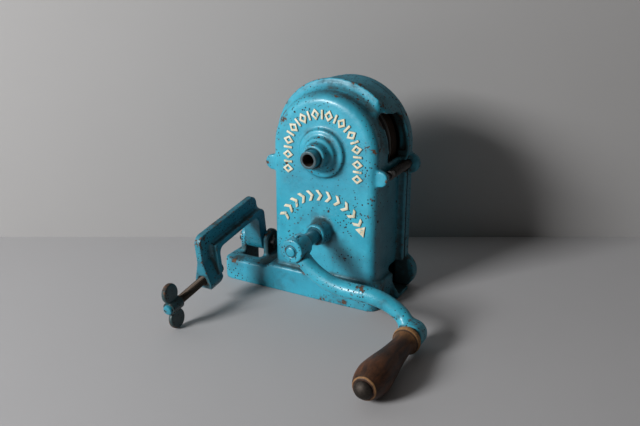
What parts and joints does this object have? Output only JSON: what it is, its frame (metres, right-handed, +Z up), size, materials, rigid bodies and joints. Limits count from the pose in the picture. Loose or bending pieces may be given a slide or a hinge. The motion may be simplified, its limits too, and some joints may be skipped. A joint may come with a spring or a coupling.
{
  "type": "knife cleaning machine",
  "caption": "Hand-cranked knife cleaner: arched cast-iron case with emery inlet tube, side knife slot, curved crank with wooden grip and a hinged table clamp with wing screw.",
  "frame": {"origin": "on the base underside, on the plane of both shaft axes, level with the casing's front face", "axes": "+Z up from the table, +X to the operator's right, +Y from the crank side to the rear cover"},
  "size_m": [0.2581, 0.2505, 0.226],
  "materials": {
    "turquoise_paint": "worn gloss oil paint over cast iron, rust at the chips",
    "turquoise_cover": "worn gloss oil paint over cast iron",
    "turquoise_clamp": "worn paint, rubbed at the edges",
    "dark_steel": "dark oiled steel with some rust",
    "rusty_steel": "brown rusted steel",
    "cast_gear": "as cast, oiled",
    "bearing_brass": "turned",
    "disc_wood": "plain turned beech",
    "grip_wood": "dark worn turned wood",
    "felt": "hard felt, grey with emery"
  },
  "bodies": {
    "casing": {"front_casing": "turquoise_paint", "cover_dowels": "dark_steel", "inlet_tube": "dark_steel", "inlet_lock_nut": "dark_steel", "inlet_ring": "dark_steel", "crank_bush": "bearing_brass", "tension_stud_left": "dark_steel", "tension_stud_right": "dark_steel", "spring_collar_left": "dark_steel", "spring_collar_right": "dark_steel", "tension_spring_left": "dark_steel", "tension_spring_right": "dark_steel", "clamp_hinge_pin": "dark_steel", "hinge_cotter": "dark_steel"},
    "crank": {"crank_shaft": "dark_steel", "crank_gear": "cast_gear", "gear_pin": "dark_steel", "crank_arm": "turquoise_paint", "crank_pin": "dark_steel", "grip_washer": "dark_steel", "grip_spindle": "dark_steel"},
    "crank_grip": {"grip": "grip_wood"},
    "driven_disc": {"pinion": "cast_gear", "front_disc": "disc_wood", "front_felt": "felt", "disc_screws": "dark_steel"},
    "cover": {"rear_cover": "turquoise_cover", "rear_axle": "dark_steel", "rear_axle_washer": "dark_steel", "rear_axle_nut": "dark_steel", "tension_washer_left": "dark_steel", "tension_washer_right": "dark_steel"},
    "idle_disc": {"rear_bush": "bearing_brass", "rear_disc": "disc_wood", "rear_felt": "felt"},
    "nut_left": {"tension_nut_left": "dark_steel"},
    "nut_right": {"tension_nut_right": "dark_steel"},
    "clamp_frame": {"clamp_arm": "turquoise_clamp"},
    "pad": {"clamp_pad": "rusty_steel"},
    "screw": {"clamp_screw": "rusty_steel", "clamp_wing": "turquoise_clamp"}
  },
  "joints": [
    {"name": "crank_turn", "type": "hinge", "parent": "casing", "child": "crank", "pos_m": [0, 0, 0.076], "axis": [0, -1, 0], "range_deg": [-100, 185]},
    {"name": "grip_spin", "type": "hinge", "parent": "crank", "child": "crank_grip", "pos_m": [0.1225, -0.11, 0.0162], "axis": [0, -1, 0], "continuous": true},
    {"name": "disc_turn", "type": "hinge", "parent": "casing", "child": "driven_disc", "pos_m": [0, 0.03, 0.157], "axis": [0, -1, 0], "range_deg": [-272, 148]},
    {"name": "cover_slide", "type": "slide", "parent": "casing", "child": "cover", "axis": [0, 1, 0], "range_m": [-0.0005, 0.003], "deforming": ["tension_spring_left", "tension_spring_right"]},
    {"name": "idle_disc_turn", "type": "hinge", "parent": "cover", "child": "idle_disc", "pos_m": [0, 0.055, 0.157], "axis": [0, -1, 0], "continuous": true},
    {"name": "nut_left_turn", "type": "hinge", "parent": "cover", "child": "nut_left", "pos_m": [-0.063, 0.076, 0.138], "axis": [0, 1, 0], "range_deg": [-205, 1205]},
    {"name": "nut_right_turn", "type": "hinge", "parent": "cover", "child": "nut_right", "pos_m": [0.063, 0.076, 0.138], "axis": [0, 1, 0], "range_deg": [-205, 1205]},
    {"name": "clamp_swing", "type": "hinge", "parent": "casing", "child": "clamp_frame", "pos_m": [-0.095, 0.0265, 0.0385], "axis": [1, 0, 0], "range_deg": [0, 82]},
    {"name": "pad_slide", "type": "slide", "parent": "clamp_frame", "child": "pad", "axis": [0, 0.9903, 0.1392], "range_m": [0, 0.03]},
    {"name": "screw_turn", "type": "hinge", "parent": "pad", "child": "screw", "pos_m": [-0.095, -0.07343, 0.03102], "axis": [0, 0.9903, 0.1392], "range_deg": [-2, 5402]}
  ],
  "couplings": [
    {"joint": "disc_turn", "follows": "crank_turn", "ratio": -1.4545},
    {"joint": "nut_left_turn", "follows": "cover_slide", "rad_per_m": 6981.3},
    {"joint": "nut_right_turn", "follows": "cover_slide", "rad_per_m": 6981.3},
    {"joint": "screw_turn", "follows": "pad_slide", "rad_per_m": 3141.6}
  ]
}
